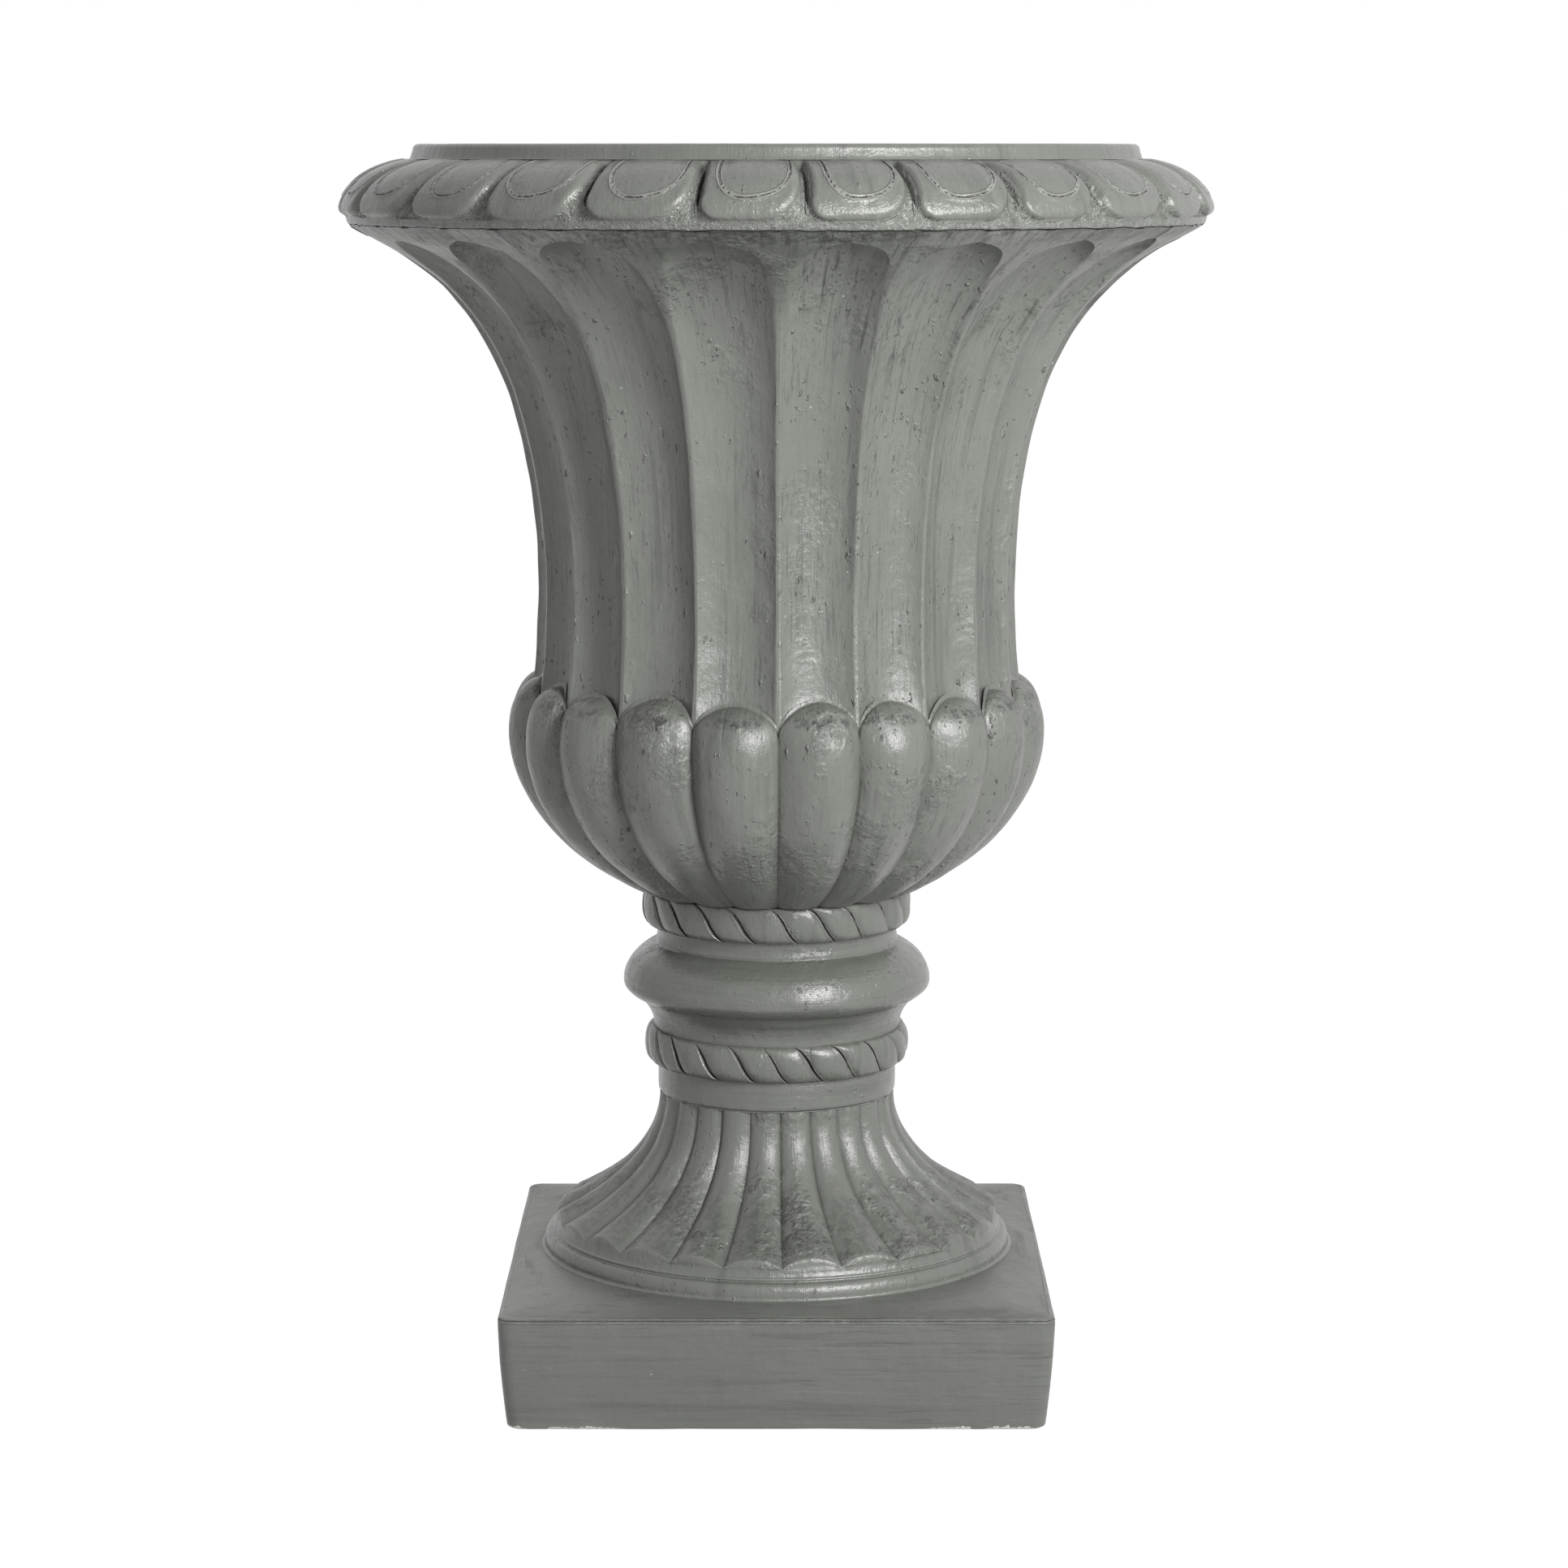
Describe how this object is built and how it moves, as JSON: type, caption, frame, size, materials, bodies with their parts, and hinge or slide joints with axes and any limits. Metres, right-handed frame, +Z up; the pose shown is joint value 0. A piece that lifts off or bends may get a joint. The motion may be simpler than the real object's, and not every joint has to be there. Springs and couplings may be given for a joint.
{
  "type": "fluted urn planter",
  "caption": "Classical urn planter with a flared fluted bell, a gadrooned bowl, a turned stem with rope mouldings and a reeded foot on a square plinth, with an open mouth for plants.",
  "frame": {"origin": "on the floor under the middle of the square plinth, at the underside of its pads", "axes": "+Z up along the urn's axis, -Y towards the front side of the plinth, +X to the right as seen from the front"},
  "size_m": [0.5616, 0.5612, 0.802],
  "materials": {
    "painted_casting": "satin",
    "bedding_compound": "matte",
    "plated_steel": "satin",
    "black_rubber": "matte",
    "drain_plastic": "matte"
  },
  "bodies": {
    "urn": {"plinth": "painted_casting", "foot": "painted_casting", "stem": "painted_casting", "lower_rope": "painted_casting", "upper_rope": "painted_casting", "bowl": "painted_casting", "bell": "painted_casting", "rim": "painted_casting", "foot_bed": "bedding_compound", "stem_bed": "bedding_compound", "bowl_bed": "bedding_compound", "bell_bed": "bedding_compound", "rim_bed": "bedding_compound", "tie_rod": "plated_steel", "top_nut": "plated_steel", "top_washer": "plated_steel", "sealing_washer": "black_rubber", "clamp_bar": "plated_steel", "bottom_washer": "plated_steel", "lock_washer": "plated_steel", "bottom_nut": "plated_steel", "drain_sleeve": "drain_plastic", "front_left_pad": "black_rubber", "front_right_pad": "black_rubber", "rear_left_pad": "black_rubber", "rear_right_pad": "black_rubber"},
    "plug": {"drain_plug": "black_rubber"}
  },
  "joints": [
    {"name": "plug_lift", "type": "slide", "parent": "urn", "child": "plug", "axis": [0, 0, 1], "range_m": [0, 0.5]}
  ]
}
